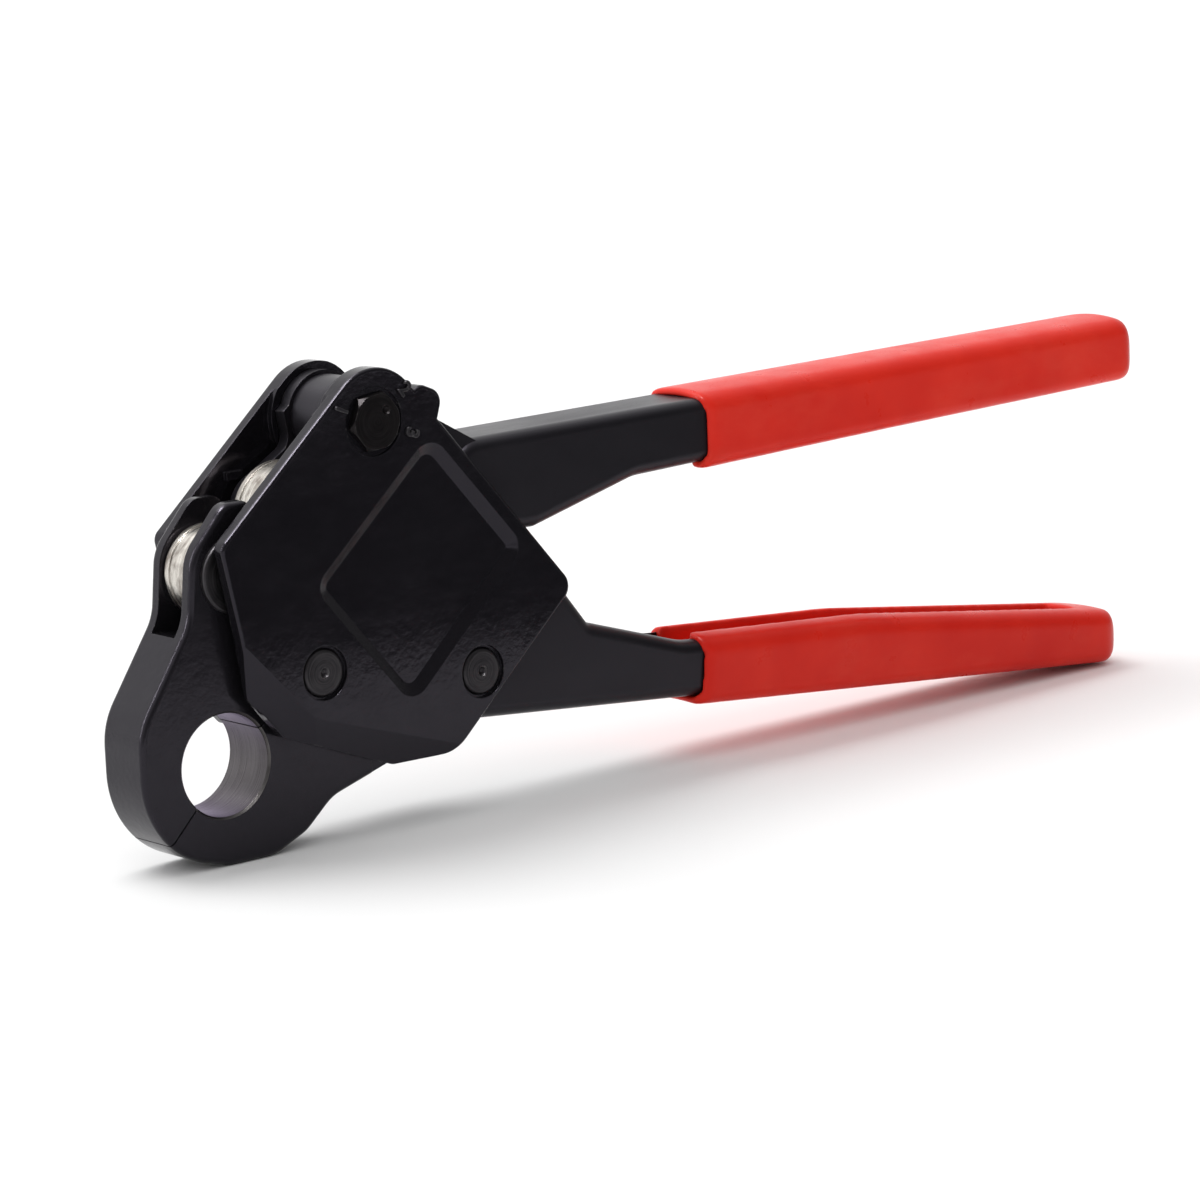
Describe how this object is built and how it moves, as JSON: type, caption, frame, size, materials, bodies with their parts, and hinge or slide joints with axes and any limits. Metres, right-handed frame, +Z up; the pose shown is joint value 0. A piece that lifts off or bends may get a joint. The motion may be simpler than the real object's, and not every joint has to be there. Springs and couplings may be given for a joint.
{
  "type": "pex crimp ring tool",
  "caption": "Compact hand crimping tool for copper rings on plastic water pipe: hinged die jaws between side plates, worked by rollers and two red-gripped handles.",
  "frame": {"origin": "on the floor under the middle of the tool's length, in its middle plane", "axes": "+X from the die ring to the grips, +Z up with the tool standing on its edge, Y across its thickness"},
  "size_m": [0.246, 0.0224, 0.0822],
  "materials": {
    "plate_enamel": "gloss black enamel with a fine orange-peel",
    "jaw_enamel": "gloss black enamel with a fine orange-peel",
    "handle_paint": "satin black paint",
    "red_vinyl": "semi-gloss dipped vinyl",
    "dark_steel": "black oxide, turned end faces",
    "roller_steel": "worn nickel plate",
    "plain_steel": "zinc-plated or bright steel"
  },
  "bodies": {
    "frame": {"front_side_plate": "plate_enamel", "back_side_plate": "plate_enamel", "fixed_jaw": "jaw_enamel", "jaw_pivot_pin": "dark_steel", "handle_pin": "dark_steel", "handle_dowel": "plain_steel", "pivot_washers": "plain_steel", "lower_handle": "handle_paint", "lower_grip": "red_vinyl"},
    "jaw": {"moving_jaw": "jaw_enamel", "jaw_roller_axle": "dark_steel", "jaw_spring": "plain_steel"},
    "jaw_wheel": {"jaw_roller": "roller_steel"},
    "lever": {"upper_handle": "handle_paint", "upper_grip": "red_vinyl", "hub_sleeve": "handle_paint", "cam_roller_axle": "dark_steel", "cam_roller_washers": "plain_steel"},
    "cam_wheel": {"cam_roller": "roller_steel"},
    "adjuster": {"eccentric_bolt": "dark_steel", "bolt_clip": "dark_steel"}
  },
  "joints": [
    {"name": "handle_pivot", "type": "hinge", "parent": "frame", "child": "lever", "pos_m": [-0.0743, 0, 0.073], "axis": [0, -1, 0], "range_deg": [0, 80]},
    {"name": "jaw_pivot", "type": "hinge", "parent": "frame", "child": "jaw", "pos_m": [-0.0873, 0, 0.0311], "axis": [0, 1, 0], "range_deg": [0, 32]},
    {"name": "jaw_roller_spin", "type": "hinge", "parent": "jaw", "child": "jaw_wheel", "pos_m": [-0.1026, 0, 0.05], "axis": [0, 1, 0], "continuous": true},
    {"name": "cam_roller_spin", "type": "hinge", "parent": "lever", "child": "cam_wheel", "pos_m": [-0.0866, 0, 0.0575], "axis": [0, 1, 0], "continuous": true},
    {"name": "adjuster_turn", "type": "hinge", "parent": "frame", "child": "adjuster", "pos_m": [-0.0743, 0, 0.073], "axis": [0, 1, 0], "range_deg": [-60, 60]}
  ],
  "couplings": [
    {"joint": "jaw_pivot", "follows": "handle_pivot", "ratio": 0.4}
  ]
}
